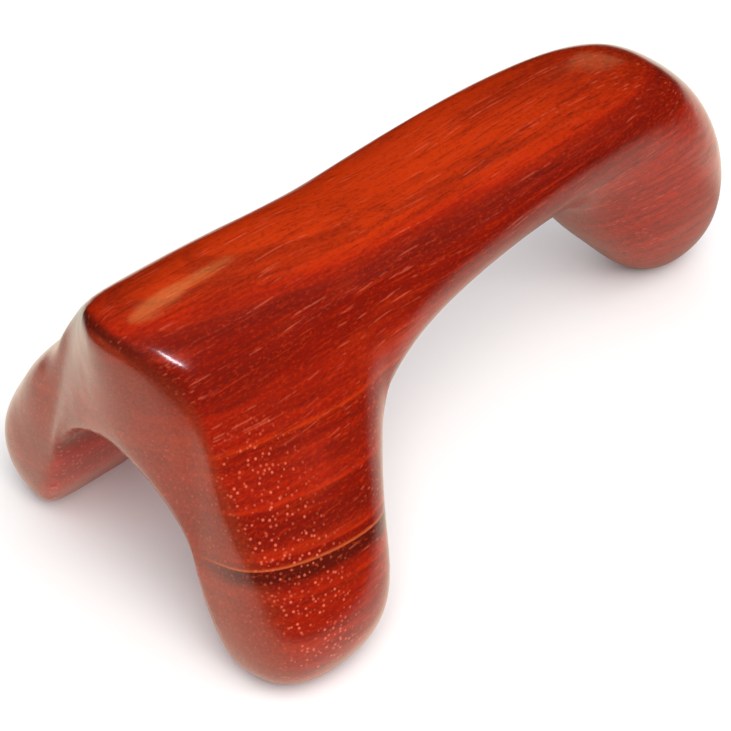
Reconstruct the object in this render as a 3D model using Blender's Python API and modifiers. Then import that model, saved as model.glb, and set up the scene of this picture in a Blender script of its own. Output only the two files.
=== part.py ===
"""A one-piece carved hardwood rest.

A rounded arm runs back from a short crossbar. The crossbar stands on two splayed
legs with an open arch between them, and the far end of the arm curves down into a
third foot. The whole object is one block of wood, carved, sanded and lacquered.

Frame: +X along the arm away from the crossbar, +Y across it, +Z up. The origin is
on the floor plane, under the middle of the object's length.
"""

import bpy

MM = 0.001

# Driving dimensions, in millimetres.
# The stations below are measured along X from the shoulders of the end face.
MIDDLE_X = 53.04         # the middle of the finished length, which becomes X = 0
SUBDIVISIONS = 3

# Crossbar stations, from the crown of the arch down one leg to its sole. Each is the four
# corners of a section: outer front, outer back, inner back and inner front, as x, y, z.
CROSSBAR = (
    ((-6.8, 0.0, 47.0), (28.0, 0.0, 47.0), (28.0, 0.0, 30.0), (-2.4, 0.0, 29.0)),
    ((2.6, 9.8, 43.4), (31.0, 10.0, 43.5), (32.5, 15.5, 18.5), (-1.7, 12.4, 20.0)),
    ((0.8, 14.0, 32.4), (30.5, 14.0, 32.5), (29.5, 14.5, 12.5), (-1.2, 13.0, 13.2)),
    ((-1.4, 26.5, 20.0), (22.0, 26.7, 20.0), (24.0, 15.0, 9.0), (-0.9, 14.3, 9.0)),
    ((-2.5, 31.0, 8.0), (21.5, 31.2, 8.0), (22.5, 16.0, 5.5), (-0.2, 15.7, 5.0)),
    ((3.0, 26.0, -1.5), (18.0, 26.3, -1.5), (19.0, 18.5, -0.5), (1.2, 19.4, -0.9)),
)

# Arm stations, from the crossbar to the tip, where the arm has turned down.
# Each is a top edge and an underside edge, and an edge is x, half width, z.
ARM = (
    ((40.0, 13.5, 43.5), (40.0, 11.5, 24.0)),
    ((56.0, 13.0, 45.0), (56.0, 10.0, 26.5)),
    ((74.0, 12.5, 45.2), (74.0, 9.5, 27.5)),
    ((94.0, 11.2, 43.6), (78.2, 9.2, 17.3)),
    ((107.9, 12.8, 25.0), (88.6, 9.8, 7.6)),
    ((111.8, 8.0, 2.0), (98.0, 4.5, -3.0)),
)
CROWN = 2.5              # how far the arm's middle stands above and below its edges

FLOOR_SLAB = (150.0, 90.0, 10.0)    # length, width and depth of the slab that levels the soles

# Crease weights along the crossbar's edges, crown to sole. 1 is a sharp arris.
OUTER_FRONT_CREASE = (0.7, 0.6, 0.35, 0.1, 0.0)
INNER_FRONT_CREASE = (0.6, 0.6, 0.7, 0.7, 0.7)
INNER_BACK_CREASE = (0.0, 0.2, 0.5, 0.6, 0.6)
SOLE_CREASE = 0.8

WOOD_COLOUR = (0.42, 0.07, 0.02, 1.0)
WOOD_ROUGHNESS = 0.18


def clear_scene():
    for item in list(bpy.data.objects):
        bpy.data.objects.remove(item, do_unlink=True)


def new_collection(name):
    collection = bpy.data.collections.new(name)
    bpy.context.scene.collection.children.link(collection)
    return collection


def wood_material():
    material = bpy.data.materials.new("lacquered_hardwood")
    material.use_nodes = True
    shader = material.node_tree.nodes["Principled BSDF"]
    shader.inputs["Base Color"].default_value = WOOD_COLOUR
    shader.inputs["Roughness"].default_value = WOOD_ROUGHNESS
    shader.inputs["Metallic"].default_value = 0.0
    return material


class Cage:
    """A coarse half cage of quads, with creases, on the +Y side of the symmetry plane."""

    def __init__(self):
        self.points = []
        self.faces = []
        self.creases = {}

    def point(self, x, y, z):
        self.points.append((x * MM, y * MM, z * MM))
        return len(self.points) - 1

    def strip(self, first, second):
        """Joins two open rows of points with quads."""
        for index in range(len(first) - 1):
            self.faces.append((first[index], first[index + 1], second[index + 1], second[index]))

    def crease(self, start, end, weight):
        self.creases[tuple(sorted((start, end)))] = weight

    def mesh(self, name):
        mesh = bpy.data.meshes.new(name)
        mesh.from_pydata(self.points, [], self.faces)
        layer = mesh.attributes.new("crease_edge", "FLOAT", "EDGE")
        for edge in mesh.edges:
            layer.data[edge.index].value = self.creases.get(tuple(sorted(edge.vertices)), 0.0)
        mesh.shade_smooth()
        return mesh


def crossbar_ring(cage, station):
    """One section through the crossbar: outer front, outer back, inner back, inner front."""
    return tuple(cage.point(*corner) for corner in station)


def arm_row(cage, station):
    """Half a section through the arm: top middle, top edge, lower edge, lower middle."""
    (top_x, top_width, top_z), (low_x, low_width, low_z) = station
    return (
        cage.point(top_x, 0.0, top_z),
        cage.point(top_x, top_width, top_z - CROWN),
        cage.point(low_x, low_width, low_z + CROWN),
        cage.point(low_x, 0.0, low_z),
    )


def build_cage():
    cage = Cage()
    rings = [crossbar_ring(cage, station) for station in CROSSBAR]
    crown, shoulder = rings[0], rings[1]

    # The outside, the inside and the front of the leg, then its back below the arm.
    for upper, lower in zip(rings, rings[1:]):
        cage.strip(upper[0:2], lower[0:2])
        cage.strip(upper[2:4], lower[2:4])
        cage.strip((upper[3], upper[0]), (lower[3], lower[0]))
    for upper, lower in zip(rings[1:], rings[2:]):
        cage.strip(upper[1:3], lower[1:3])
    sole = rings[-1]
    cage.faces.append(sole)

    # The arm grows out of the back of the crossbar, between the crown and the shoulder.
    rows = [(crown[1], shoulder[1], shoulder[2], crown[2])]
    rows += [arm_row(cage, station) for station in ARM]
    for near, far in zip(rows, rows[1:]):
        cage.strip(far, near)
    cage.faces.append(rows[-1][::-1])

    for corner, weights in ((0, OUTER_FRONT_CREASE), (3, INNER_FRONT_CREASE), (2, INNER_BACK_CREASE)):
        for upper, lower, weight in zip(rings, rings[1:], weights):
            cage.crease(upper[corner], lower[corner], weight)
    cage.crease(sole[2], sole[3], SOLE_CREASE)
    return cage


def build_body(collection):
    mesh = build_cage().mesh("carved_body")
    mesh.materials.append(wood_material())
    body = bpy.data.objects.new("carved_body", mesh)
    collection.objects.link(body)
    body.location.x = -MIDDLE_X * MM

    mirror = body.modifiers.new("other_half", "MIRROR")
    mirror.use_axis = (False, True, False)
    mirror.use_clip = True
    mirror.merge_threshold = 0.0001

    surface = body.modifiers.new("carved_surface", "SUBSURF")
    surface.levels = SUBDIVISIONS
    surface.render_levels = SUBDIVISIONS
    return body


def build_floor_cutter(collection):
    """A slab under the floor plane, which takes the flat off the sole of each foot."""
    bpy.ops.mesh.primitive_cube_add(size=1.0, location=(0.0, 0.0, -FLOOR_SLAB[2] * MM / 2))
    cutter = bpy.context.object
    cutter.name = "floor_cutter"
    cutter.scale = [side * MM for side in FLOOR_SLAB]
    cutter.hide_render = True
    cutter.display_type = "WIRE"
    for holder in list(cutter.users_collection):
        holder.objects.unlink(cutter)
    collection.objects.link(cutter)
    return cutter


def main():
    clear_scene()
    parts = new_collection("carved_rest")
    cutters = new_collection("cutters")
    body = build_body(parts)

    flat_soles = body.modifiers.new("flat_soles", "BOOLEAN")
    flat_soles.operation = "DIFFERENCE"
    flat_soles.object = build_floor_cutter(cutters)


main()
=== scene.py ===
"""Studio picture of a carved, lacquered hardwood rest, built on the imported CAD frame.

The body's surface is the CAD body's, made finer. Its wood is procedural: tilted growth
layers, fibres and vessel pores that follow the arm's direction (X), under a clear gloss
lacquer. Lengths in this file are in millimetres.
"""

import math

import bmesh
import bpy
from mathutils import Matrix, Vector


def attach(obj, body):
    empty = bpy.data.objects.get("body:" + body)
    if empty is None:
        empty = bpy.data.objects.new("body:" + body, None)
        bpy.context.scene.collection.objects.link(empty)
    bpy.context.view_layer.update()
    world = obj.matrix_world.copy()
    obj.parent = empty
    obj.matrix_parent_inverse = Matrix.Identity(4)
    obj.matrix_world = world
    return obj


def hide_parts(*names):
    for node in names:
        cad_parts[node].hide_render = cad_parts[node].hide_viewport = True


MM = 0.001
BODY = "carved_body"
SLOT = "lacquered_hardwood"
BLACK = (0.0, 0.0, 0.0)

# Camera: where it looks from, and the lens. Angles are in degrees.
CAMERA_AZIMUTH = -47.7
CAMERA_ELEVATION = 42.1
CAMERA_ROLL = 3.9
CAMERA_DISTANCE = 280.7
CAMERA_LENS = 106.6
CAMERA_SENSOR = 36.0
CAMERA_TARGET = (-14.8, -2.35, 17.3)
CAMERA_NEAREST = 10.0                # nothing nearer than this is drawn

# The wood's colours, linear.
NEAR_BLACK = (0.045, 0.004, 0.002)
DARK_WOOD = (0.11, 0.005, 0.002)
DEEP_RED = (0.18, 0.0045, 0.0006)
PURPLE = (0.17, 0.008, 0.003)
RED = (0.265, 0.008, 0.0008)
ORANGE_RED = (0.36, 0.013, 0.0010)
ORANGE = (0.43, 0.026, 0.0012)
AMBER = (0.45, 0.085, 0.020)
# painted light: a brighter red for the legs' inner faces, which lie in the arch's shade
INNER_PAINTED_LIGHT = (0.50, 0.022, 0.012)
END_GRAIN = (0.21, 0.030, 0.010)
PORE_COLOUR = (0.72, 0.14, 0.07)

# Growth layers. A point's height in the tree is measured across them.
LAYER_TILT = (0.15, 0.3, 1.0)        # their normal: nearly level
LAYER_BEND = (-18.0, 15.0)           # the X where they turn level along the arm, and how softly
LAYER_SPAN = 70.0                    # the height that the layer colours are spread over
LAYER_LIFT = 15.0                    # added to every height, so the lowest is about 0
LAYER_WARP = 1.6                     # how far the layers wander up and down
LAYERS = (
    (20.0, RED),
    (22.4, DEEP_RED),
    (22.7, ORANGE_RED),
    (23.1, RED),
    (26.0, DEEP_RED),
    (28.4, DEEP_RED),
    (28.7, ORANGE_RED),
    (29.2, RED),
    (33.0, RED),
    (36.0, DEEP_RED),
    (36.3, ORANGE),
    (36.8, RED),
    (41.5, RED),
    (44.0, DEEP_RED),
    (48.5, DEEP_RED),
    (51.0, PURPLE),
    (52.2, ORANGE_RED),
    (54.0, ORANGE),
    (57.0, ORANGE),
    (62.0, ORANGE_RED),
)
RING = (18.3, 20.2, 21.2, 21.4, 21.8)    # heights: dark begins, full, ends, bright line, its end
RING_SIDE = (-12.0, -20.0)           # it fades in between the first Y and the second
RING_DARKNESS = 0.85
RING_LINE_BRIGHTNESS = 0.8

# How far noise is stretched: its frequency along X, Y and Z, per millimetre.
WARP_FREQUENCY = (0.018, 0.06, 0.05)
SHEET_FREQUENCY = (0.03, 0.10, 0.9)      # the last one is across the growth layers
SPECKLE_FREQUENCY = (1.4, 3.0, 3.0)
WANDER_FREQUENCY = (0.05, 0.04, 0.04)
UNEVEN_FREQUENCY = (0.08, 0.12, 0.12)

# Streaks along the grain: length and width.
FIGURE_SIZE = (30.0, 7.0)
GRAIN_SIZE = (10.0, 0.35)
FLECK_SIZE = (5.0, 0.45)
DASH_SIZE = (2.0, 0.9)
PATCH_SIZE = (10.0, 4.0)

# How noise marks the wood. As the noise goes from the first number to the second, the mark's
# strength goes from the third to the fourth, or from 0 to 1 where only two are given.
FIGURE_DARK = (0.50, 0.68, 0.0, 0.42)
FIGURE_BRIGHT = (0.46, 0.32, 0.0, 0.45)
SHEET_DARK = (0.56, 0.38, 0.0, 0.42)
SHEET_BRIGHT = (0.58, 0.74, 0.0, 0.35)
GRAIN_DARK = (0.52, 0.30, 0.0, 0.42)
GRAIN_BRIGHT = (0.55, 0.75, 0.0, 0.40)
SPECKLE_DARK = (0.50, 0.30, 0.0, 0.36)
SPECKLE_BRIGHT = (0.52, 0.70, 0.0, 0.34)
FLECK_DARK = (0.62, 0.74, 0.0, 0.45)

# How place and facing mark it, in the same form. A facing is a part of the surface's normal.
TIP_X = (0.0, 40.0, 0.0, 0.6)        # redder towards the arm's tip
TIP_TOP_Z = (34.0, 40.0)             # and deeper on its top
INNER_FACING = (-2.0, -6.0, 0.0, 0.8)    # painted light on the legs' inner faces, which lie in the arch's shade: Y times the normal's Y
INNER_Z = (18.0, 12.0)
END_FACING = (-0.45, -0.85)          # the front end
END_AMOUNT = 0.55
FLECK_X = (-20.0, 20.0, 0.2, 1.0)    # dark flecks get stronger along the arm
ARRIS_FACING = (-0.35, -0.55)        # painted shade: a dark band along the edge above the front end
ARRIS_FACING_END = (-0.90, -0.72)
ARRIS_Z = (34.0, 41.0, 0.0, 0.75)
ARRIS_Y = (-13.0, 2.0, 0.15, 1.0)

# Vessel pores, with their ranges in that form too.
PORE_SPACING = 0.72
PORE_RADIUS = 0.15
DOT_SPACING = 0.70
DOT_RADIUS = 0.21
PORE_EDGE = (1.2, 0.5)               # where a pore's edge begins and ends, in radii
WANDER = (0.0, 3.0, 3.0)             # how far the vessels wander from side to side
PORE_KEPT = (0.0, 0.2)               # a few vessels are faint or left out
PORE_BROKEN = (0.42, 0.56)
PORE_PATCHY = (0.40, 0.60, 0.15, 1.0)
DOT_STRENGTH = (0.0, 0.8, 0.35, 1.0)
FRONT_X = (-38.5, -45.0)             # from the first X to the second, dashes become dots
FRONT_Z = (38.0, 31.0)               # but not on top
PORE_GLINT = 0.24                    # how pale the pores are: partly their own colour, partly a painted glint of the lacquer in them
DOT_GLINT = 0.40                     # how much paler at the front
END_FADE = -0.75                     # the change of both on the front end

# The surface under the lacquer, and the lacquer itself.
WOOD_ROUGHNESS = (0.3, 0.7, 0.42, 0.30)
COAT_ROUGHNESS = 0.16
COAT_IOR = 1.5
UNEVEN_DEPTH = 0.25
GRAIN_DEPTH = 0.02
PORE_DEPTH = -0.03
COAT_GRAIN_DEPTH = 0.012
COAT_PORE_DEPTH = -0.004

# Limits for joining the CAD body's triangles back into quads.
WELD_DISTANCE = 0.002
FLAT_ANGLE = math.radians(40)
SHAPE_ANGLE = math.radians(60)

# The floor, and the part of it that the lacquer reflects.
FLOOR_LOW = (-2000.0, -2000.0)
FLOOR_HIGH = (2000.0, 2000.0)
FLOOR_COLOUR = (0.87, 0.865, 0.855)
FLOOR_ROUGHNESS = 0.9
FLOOR_SPECULAR = 0.1
MIRRORED_LOW = (-260.0, -75.0)
MIRRORED_HIGH = (360.0, 112.0)
MIRRORED_HEIGHT = 0.02
MIRRORED_COLOUR = (0.90, 0.83, 0.68)
MIRRORED_FADE = (0.55, 1.0, 1.0, 0.0)    # two shares of the way to its edge, and its strength there
MIRRORED_PAINTED_SHADOW = ((-60.0, 1.0), (0.0, 1.0), (40.0, 0.42))    # its brightness along X: a painted shadow of the object on the floor
MIRRORED_PAINTED_GLOW = (0.06, 0.90)         # a painted glow that it gives off by itself though it is no lamp, and more beyond the arm's tip
BEYOND_TIP = (68.0, 84.0)
BEYOND_SIDE = (-45.0, -15.0)

# Lamps: name, place, aim, width and height, power in watts, colour. The first two give
# diffuse light only, and the other three are seen only in the lacquer.
DIFFUSE_LAMPS = (
    ("key", (-150, -190, 405), (-20, 0, 20), (300, 300), 1.6, (1.0, 0.98, 0.95)),
    ("fill", (270, -380, 190), (5, 0, 18), (120, 120), 0.35, (1.0, 0.93, 0.9)),
)
GLOSS_LAMPS = (
    ("edge_lamp", (-10, -254, 394), (-52, -7, 43), (36, 180), 0.85, (0.93, 0.92, 1.0)),
    ("near_glow", (21, 78, 151), (-50, 0, 45), (26, 60), 0.015, (1.0, 0.60, 0.18)),
    ("far_glow", (232, 127, 115), (30, 0, 43), (60, 80), 0.008, (1.0, 0.7, 0.3)),
)
SKY_COLOUR = (0.9, 0.92, 0.95)
SKY_STRENGTH = 0.95


def mm(*values):
    return Vector(values) * MM


def opaque(colour):
    return (*colour, 1.0)


class Graph:
    """Adds shader nodes to one node tree and links them."""

    def __init__(self, tree):
        self.tree = tree

    def put(self, socket, value):
        if isinstance(value, bpy.types.NodeSocket):
            self.tree.links.new(value, socket)
        elif value is not None:
            socket.default_value = value

    def add(self, kind, inputs=(), **settings):
        node = self.tree.nodes.new(kind)
        for name, value in settings.items():
            setattr(node, name, value)
        for name, value in dict(inputs).items():
            self.put(node.inputs[name], value)
        return node

    def math(self, operation, first, second=None, third=None):
        node = self.add("ShaderNodeMath", operation=operation)
        for index, value in enumerate((first, second, third)):
            self.put(node.inputs[index], value)
        return node.outputs[0]

    def times(self, first, *others):
        for other in others:
            first = self.math("MULTIPLY", first, other)
        return first

    def vector(self, operation, first, second=None, output="Vector"):
        node = self.add("ShaderNodeVectorMath", operation=operation)
        self.put(node.inputs[0], first)
        self.put(node.inputs[1], second)
        return node.outputs[output]

    def split(self, vector):
        return self.add("ShaderNodeSeparateXYZ", {"Vector": vector}).outputs

    def join(self, **parts):
        return self.add("ShaderNodeCombineXYZ", parts).outputs["Vector"]

    def place(self):
        """A point's place on the object, in millimetres."""
        metres = self.add("ShaderNodeTexCoord").outputs["Object"]
        return self.vector("MULTIPLY", metres, (1 / MM, 1 / MM, 1 / MM))

    def facing(self):
        """The parts of the surface's normal."""
        return self.split(self.add("ShaderNodeTexCoord").outputs["Normal"])

    def noise(self, vector, detail=2.0, roughness=0.5, output="Fac"):
        inputs = {"Vector": vector, "Scale": 1.0, "Detail": detail, "Roughness": roughness}
        return self.add("ShaderNodeTexNoise", inputs).outputs[output]

    def cells(self, vector, spacing, radius, dimensions):
        """Round spots scattered about this far apart, and a random number for each."""
        node = self.add("ShaderNodeTexVoronoi", {"Vector": vector}, voronoi_dimensions=dimensions)
        node.inputs["Scale"].default_value = 1.0 / spacing
        edge = [share * (radius / spacing) for share in PORE_EDGE]
        spot = self.between(node.outputs["Distance"], *edge)
        chance = self.add("ShaderNodeSeparateColor", {"Color": node.outputs["Color"]})
        return spot, chance.outputs["Red"]

    def between(self, value, start, end, first=0.0, last=1.0):
        """A smooth step from first to last as value goes from start to end."""
        node = self.add("ShaderNodeMapRange", interpolation_type="SMOOTHSTEP")
        for index, number in enumerate((value, start, end, first, last)):
            self.put(node.inputs[index], number)
        return node.outputs[0]

    def ramp(self, factor, stops):
        node = self.add("ShaderNodeValToRGB", {"Fac": factor})
        elements = node.color_ramp.elements
        while len(elements) < len(stops):
            elements.new(0.5)
        for element, (position, colour) in zip(elements, stops):
            element.position = position
            element.color = opaque(colour)
        return node.outputs["Color"]

    def mix(self, factor, first, second, blend="MIX"):
        """Mixes two colours, each a plain colour or a socket. They are the node's inputs 6 and
        7, after those for other types."""
        node = self.add("ShaderNodeMix", data_type="RGBA", blend_type=blend)
        self.put(node.inputs[0], factor)
        for index, colour in ((6, first), (7, second)):
            self.put(node.inputs[index], opaque(colour) if isinstance(colour, tuple) else colour)
        return node.outputs[2]

    def bump(self, height):
        """The surface's normal, tilted by a height in millimetres."""
        node = self.add("ShaderNodeBump", {"Height": height, "Distance": MM, "Strength": 1.0})
        return node.outputs["Normal"]


def growth_layers(graph, place):
    """Colour by height in the tree, and the warped height itself."""
    broad = graph.noise(graph.vector("MULTIPLY", place, WARP_FREQUENCY))
    part = graph.split(place)
    along = graph.math("SMOOTH_MIN", part["X"], *LAYER_BEND)
    bent = graph.join(X=along, Y=part["Y"], Z=part["Z"])
    level = graph.vector("DOT_PRODUCT", bent, LAYER_TILT, "Value")
    lifted = graph.math("ADD", level, LAYER_LIFT - LAYER_WARP / 2)
    height = graph.math("MULTIPLY_ADD", broad, LAYER_WARP, lifted)
    stops = [(at / LAYER_SPAN, colour) for at, colour in LAYERS]
    return graph.ramp(graph.math("DIVIDE", height, LAYER_SPAN), stops), height


def fine_layers(graph, place, height):
    """Thin darker and lighter sheets between the main layers."""
    part = graph.split(place)
    along, across, up = SHEET_FREQUENCY
    sheet = graph.join(
        X=graph.times(part["X"], along),
        Y=graph.times(part["Y"], across),
        Z=graph.times(height, up),
    )
    return graph.noise(sheet, detail=4.0, roughness=0.55)


def streaks(graph, place, size, detail=2.0):
    """Noise drawn out along the grain."""
    length, width = size
    frequency = (1 / length, 1 / width, 1 / width)
    return graph.noise(graph.vector("MULTIPLY", place, frequency), detail, roughness=0.55)


def dashes(graph, place):
    """Vessels are long thin tubes along X that wander a little, so a surface along the
    grain cuts them into dashes."""
    stretched = graph.vector("MULTIPLY", place, WANDER_FREQUENCY)
    slow = graph.noise(stretched, detail=1.0, output="Color")
    aside = graph.vector("SUBTRACT", slow, (0.5, 0.5, 0.5))
    moved = graph.split(graph.vector("ADD", place, graph.vector("MULTIPLY", aside, WANDER)))
    section = graph.join(X=moved["Y"], Y=moved["Z"])
    tube, chance = graph.cells(section, PORE_SPACING, PORE_RADIUS, "2D")
    kept = graph.between(chance, *PORE_KEPT)
    broken = graph.between(streaks(graph, place, DASH_SIZE), *PORE_BROKEN)
    patchy = graph.between(streaks(graph, place, PATCH_SIZE), *PORE_PATCHY)
    return graph.times(tube, kept, broken, patchy)


def dots(graph, place):
    """At the front the vessels leave the surface steeply, so there they are dots."""
    dot, chance = graph.cells(place, DOT_SPACING, DOT_RADIUS, "3D")
    return graph.times(dot, graph.between(chance, *DOT_STRENGTH))


def pores(graph, place, front):
    """Dashes that turn into dots at the front."""
    dash = dashes(graph, place)
    return graph.math("MULTIPLY_ADD", graph.math("SUBTRACT", dots(graph, place), dash), front, dash)


def dark_ring(graph, place, height):
    """One dark late-season band on the right leg, and the thin bright line on top of it."""
    dark_from, dark_full, dark_end, line, line_end = RING
    side = graph.between(graph.split(place)["Y"], *RING_SIDE)
    dark = graph.between(height, dark_from, dark_full)
    dark_top = graph.between(height, line, dark_end)
    bright = graph.between(height, dark_end, line)
    bright_top = graph.between(height, line_end, line)
    return graph.times(dark, dark_top, side), graph.times(bright, bright_top, side)


def layered_wood(graph, place, height, layers, grain):
    """The growth layers' colour, with the figure, fine layers, fibres and tints over it, and
    painted light on the legs' inner faces.
    """
    part = graph.split(place)
    sideways = graph.facing()["Y"]
    figure = streaks(graph, place, FIGURE_SIZE)
    sheets = fine_layers(graph, place, height)

    colour = graph.mix(graph.between(figure, *FIGURE_DARK), layers, DARK_WOOD)
    colour = graph.mix(graph.between(figure, *FIGURE_BRIGHT), colour, ORANGE)
    tip_colour = graph.mix(graph.between(part["Z"], *TIP_TOP_Z), ORANGE_RED, DEEP_RED)
    colour = graph.mix(graph.between(part["X"], *TIP_X), colour, tip_colour)
    # Painted light on the legs' inner faces, where the arch shades them.
    painted_inner_light = graph.between(graph.times(part["Y"], sideways), *INNER_FACING)
    painted_inner_light = graph.times(painted_inner_light, graph.between(part["Z"], *INNER_Z))
    colour = graph.mix(painted_inner_light, colour, INNER_PAINTED_LIGHT)
    colour = graph.mix(graph.between(sheets, *SHEET_DARK), colour, DARK_WOOD)
    colour = graph.mix(graph.between(sheets, *SHEET_BRIGHT), colour, ORANGE)
    colour = graph.mix(graph.between(grain, *GRAIN_DARK), colour, DARK_WOOD)
    return graph.mix(graph.between(grain, *GRAIN_BRIGHT), colour, ORANGE)


def marked_wood(graph, place, height, colour, end):
    """The wood with its end grain, ring, speckle and flecks, and a painted shade along the edge
    above the front end.
    """
    part = graph.split(place)
    forward = graph.facing()["X"]
    dark, bright = dark_ring(graph, place, height)
    speckle = graph.noise(graph.vector("MULTIPLY", place, SPECKLE_FREQUENCY), roughness=0.7)
    wisp = streaks(graph, place, FLECK_SIZE, detail=1.0)

    colour = graph.mix(graph.times(end, END_AMOUNT), colour, END_GRAIN)
    colour = graph.mix(graph.times(bright, RING_LINE_BRIGHTNESS), colour, AMBER)
    colour = graph.mix(graph.times(dark, RING_DARKNESS), colour, NEAR_BLACK)
    colour = graph.mix(graph.between(speckle, *SPECKLE_DARK), colour, DARK_WOOD)
    colour = graph.mix(graph.between(speckle, *SPECKLE_BRIGHT), colour, ORANGE)
    flecks = graph.times(graph.between(wisp, *FLECK_DARK), graph.between(part["X"], *FLECK_X))
    colour = graph.mix(flecks, colour, NEAR_BLACK)
    # Painted shade: a dark band where the top turns down into the front end.
    painted_arris_shade = graph.times(
        graph.between(forward, *ARRIS_FACING),
        graph.between(forward, *ARRIS_FACING_END),
        graph.between(part["Z"], *ARRIS_Z),
        graph.between(part["Y"], *ARRIS_Y),
    )
    return graph.mix(painted_arris_shade, colour, NEAR_BLACK)


def wood_material():
    """The wood's colour and surface, and the lacquer over them."""
    material = bpy.data.materials.new(SLOT)
    material.use_nodes = True
    graph = Graph(material.node_tree)
    shader = material.node_tree.nodes["Principled BSDF"]
    place = graph.place()
    part = graph.split(place)
    layers, height = growth_layers(graph, place)
    grain = streaks(graph, place, GRAIN_SIZE, detail=4.0)
    end = graph.between(graph.facing()["X"], *END_FACING)
    front = graph.times(graph.between(part["X"], *FRONT_X), graph.between(part["Z"], *FRONT_Z))
    pore = pores(graph, place, front)

    colour = layered_wood(graph, place, height, layers, grain)
    colour = marked_wood(graph, place, height, colour, end)
    # The pores' paleness: partly their own colour, partly a painted glint.
    glint = graph.math("MULTIPLY_ADD", front, DOT_GLINT, PORE_GLINT)
    glint = graph.times(glint, graph.math("MULTIPLY_ADD", end, END_FADE, 1.0))
    colour = graph.mix(graph.times(pore, glint), colour, PORE_COLOUR)
    graph.put(shader.inputs["Base Color"], colour)

    graph.put(shader.inputs["Roughness"], graph.between(grain, *WOOD_ROUGHNESS))
    shader.inputs["Specular IOR Level"].default_value = 0.0
    shader.inputs["Coat Weight"].default_value = 1.0
    shader.inputs["Coat Roughness"].default_value = COAT_ROUGHNESS
    shader.inputs["Coat IOR"].default_value = COAT_IOR

    uneven = graph.noise(graph.vector("MULTIPLY", place, UNEVEN_FREQUENCY))
    relief = graph.math("MULTIPLY_ADD", pore, PORE_DEPTH, graph.times(grain, GRAIN_DEPTH))
    relief = graph.math("MULTIPLY_ADD", uneven, UNEVEN_DEPTH, relief)
    graph.put(shader.inputs["Normal"], graph.bump(relief))
    skin = graph.math("MULTIPLY_ADD", grain, COAT_GRAIN_DEPTH, graph.times(pore, COAT_PORE_DEPTH))
    skin = graph.math("MULTIPLY_ADD", uneven, UNEVEN_DEPTH, skin)
    graph.put(shader.inputs["Coat Normal"], graph.bump(skin))
    return material


def carved_surface():
    """The CAD body's surface, back in quads and subdivided once more."""
    mesh = bpy.data.objects[BODY].data.copy()
    mesh.name = "carved_surface"
    work = bmesh.new()
    work.from_mesh(mesh)
    bmesh.ops.remove_doubles(work, verts=work.verts, dist=WELD_DISTANCE * MM)
    bmesh.ops.join_triangles(
        work,
        faces=work.faces,
        angle_face_threshold=FLAT_ANGLE,
        angle_shape_threshold=SHAPE_ANGLE,
    )
    work.to_mesh(mesh)
    work.free()
    mesh.shade_smooth()
    mesh.materials.clear()
    mesh.materials.append(wood_material())
    body = bpy.data.objects.new("carved_surface", mesh)
    bpy.context.scene.collection.objects.link(body)
    finer = body.modifiers.new("finer", "SUBSURF")
    finer.levels = 1
    finer.render_levels = 1
    return body


def pale_material(name):
    material = bpy.data.materials.new(name)
    material.use_nodes = True
    shader = material.node_tree.nodes["Principled BSDF"]
    shader.inputs["Base Color"].default_value = opaque(FLOOR_COLOUR)
    shader.inputs["Roughness"].default_value = FLOOR_ROUGHNESS
    shader.inputs["Specular IOR Level"].default_value = FLOOR_SPECULAR
    return material


def fading_material():
    """The mirrored floor's: it fades to black towards its edge, dims along X in a painted shadow of
    the object, and gives off a painted glow.
    """
    material = pale_material("fading_floor")
    graph = Graph(material.node_tree)
    place = graph.place()
    part = graph.split(place)
    (low_x, low_y), (high_x, high_y) = MIRRORED_LOW, MIRRORED_HIGH
    middle = ((low_x + high_x) / 2, (low_y + high_y) / 2, 0.0)
    reach = (2 / (high_x - low_x), 2 / (high_y - low_y), 0.0)
    away = graph.vector("MULTIPLY", graph.vector("SUBTRACT", place, middle), reach)
    edge = graph.between(graph.vector("LENGTH", away, output="Value"), *MIRRORED_FADE)
    span = high_x - low_x
    share = graph.math("DIVIDE", graph.math("SUBTRACT", part["X"], low_x), span)
    painted_shadow_stops = [((x - low_x) / span, (grey, grey, grey)) for x, grey in MIRRORED_PAINTED_SHADOW]
    painted_shadow = graph.ramp(share, painted_shadow_stops)
    beyond = graph.times(
        graph.between(part["X"], *BEYOND_TIP),
        graph.between(part["Y"], *BEYOND_SIDE),
    )
    near, far = MIRRORED_PAINTED_GLOW
    shade = graph.mix(edge, BLACK, MIRRORED_COLOUR)
    shader = material.node_tree.nodes["Principled BSDF"]
    # Painted shadow of the object, dimming the floor along X.
    graph.put(shader.inputs["Base Color"], graph.mix(1.0, shade, painted_shadow, "MULTIPLY"))
    # Painted glow: the floor gives off light though it is no lamp.
    graph.put(shader.inputs["Emission Color"], shade)
    graph.put(shader.inputs["Emission Strength"], graph.math("MULTIPLY_ADD", beyond, far, near))
    return material


def flat(name, low, high, height, material):
    """A level rectangle between two corners."""
    corners = ((low[0], low[1]), (high[0], low[1]), (high[0], high[1]), (low[0], high[1]))
    mesh = bpy.data.meshes.new(name)
    mesh.from_pydata([mm(x, y, height) for x, y in corners], [], [(0, 1, 2, 3)])
    mesh.materials.append(material)
    plane = bpy.data.objects.new(name, mesh)
    bpy.context.scene.collection.objects.link(plane)
    return plane


def floor():
    """The floor, and the part of it near the object that the lacquer reflects. The studio is
    dark beyond that, so the gloss stays clear of haze."""
    ground = flat("floor", FLOOR_LOW, FLOOR_HIGH, 0.0, pale_material("pale_floor"))
    ground.visible_glossy = False
    material = fading_material()
    mirrored = flat("mirrored_floor", MIRRORED_LOW, MIRRORED_HIGH, MIRRORED_HEIGHT, material)
    mirrored.visible_camera = False
    mirrored.visible_diffuse = False
    mirrored.visible_shadow = False


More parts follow.
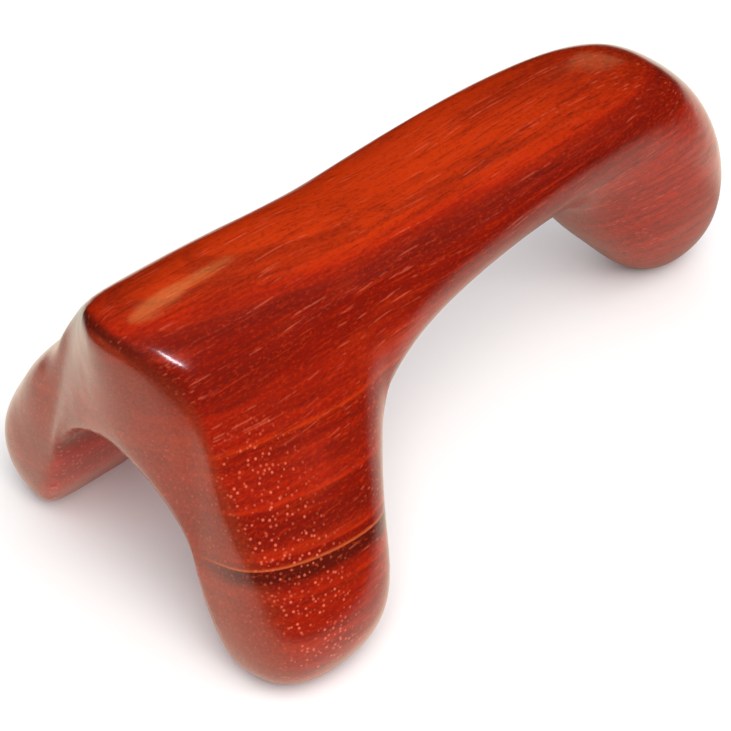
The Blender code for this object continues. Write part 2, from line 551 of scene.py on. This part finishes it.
def softbox(name, place, aim, size, power, colour):
    """A rectangular area light at place, turned to face aim."""
    light = bpy.data.lights.new(name, "AREA")
    light.shape = "RECTANGLE"
    light.size, light.size_y = (side * MM for side in size)
    light.energy = power
    light.color = colour
    lamp = bpy.data.objects.new(name, light)
    lamp.location = mm(*place)
    lamp.rotation_euler = (mm(*aim) - lamp.location).to_track_quat("-Z", "Y").to_euler()
    bpy.context.scene.collection.objects.link(lamp)
    return lamp


def lights():
    for row in DIFFUSE_LAMPS:
        lamp = softbox(*row)
        lamp.visible_glossy = False
    for row in GLOSS_LAMPS:
        lamp = softbox(*row)
        lamp.visible_diffuse = False
    world = bpy.data.worlds.new("studio")
    world.use_nodes = True
    background = world.node_tree.nodes["Background"]
    background.inputs["Color"].default_value = opaque(SKY_COLOUR)
    background.inputs["Strength"].default_value = SKY_STRENGTH
    bpy.context.scene.world = world
    world.cycles_visibility.glossy = False


def camera():
    azimuth = math.radians(CAMERA_AZIMUTH)
    elevation = math.radians(CAMERA_ELEVATION)
    back = Vector((
        math.sin(azimuth) * math.cos(elevation),
        -math.cos(azimuth) * math.cos(elevation),
        math.sin(elevation),
    ))
    right = Vector((math.cos(azimuth), math.sin(azimuth), 0.0))
    up = back.cross(right)
    turn = Matrix((right, up, back)).transposed().to_4x4()
    roll = Matrix.Rotation(math.radians(CAMERA_ROLL), 4, "Z")
    data = bpy.data.cameras.new("camera")
    data.lens = CAMERA_LENS
    data.sensor_width = CAMERA_SENSOR
    data.clip_start = CAMERA_NEAREST * MM
    eye = bpy.data.objects.new("camera", data)
    centre = mm(*CAMERA_TARGET) + back * CAMERA_DISTANCE * MM
    eye.matrix_world = Matrix.Translation(centre) @ turn @ roll
    bpy.context.scene.collection.objects.link(eye)
    bpy.context.scene.camera = eye


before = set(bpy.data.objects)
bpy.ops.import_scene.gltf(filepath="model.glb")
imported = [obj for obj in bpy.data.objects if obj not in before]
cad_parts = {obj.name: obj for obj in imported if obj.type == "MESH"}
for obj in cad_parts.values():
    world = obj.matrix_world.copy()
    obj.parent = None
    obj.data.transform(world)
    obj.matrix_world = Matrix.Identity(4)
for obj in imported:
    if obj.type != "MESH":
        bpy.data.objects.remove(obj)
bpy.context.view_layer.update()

body = carved_surface()
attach(body, "root")
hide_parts(BODY)
floor()
lights()
camera()
bpy.context.scene.view_settings.view_transform = "Standard"
